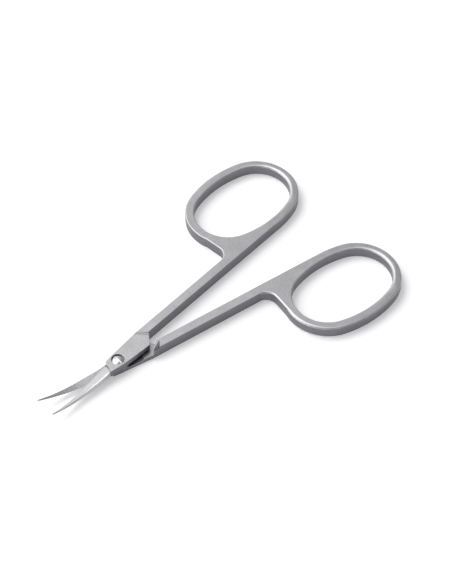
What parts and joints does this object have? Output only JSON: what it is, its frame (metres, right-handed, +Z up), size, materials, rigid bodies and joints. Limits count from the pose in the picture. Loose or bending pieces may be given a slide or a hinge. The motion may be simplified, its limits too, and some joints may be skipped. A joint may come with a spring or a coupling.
{
  "type": "cuticle scissors",
  "caption": "Slim steel scissors with curved, pointed blades, a lap joint on a countersunk slotted screw, and oval finger rings.",
  "frame": {"origin": "on the joint's axis, at the flat underside that the scissors rest on", "axes": "+X from the joint to the finger rings, +Y to the upper half's ring, +Z up through the screw's head"},
  "size_m": [0.0993, 0.0636, 0.0041],
  "materials": {
    "upper_steel": "polished",
    "lower_steel": "polished",
    "screw_steel": "turned and polished"
  },
  "bodies": {
    "lower": {"lower_half": "lower_steel", "pivot_screw": "screw_steel"},
    "upper": {"upper_half": "upper_steel"}
  },
  "joints": [
    {"name": "pivot", "type": "hinge", "parent": "lower", "child": "upper", "pos_m": [0, 0, 0], "axis": [0, 0, 1], "range_deg": [-13.6, 46]}
  ]
}
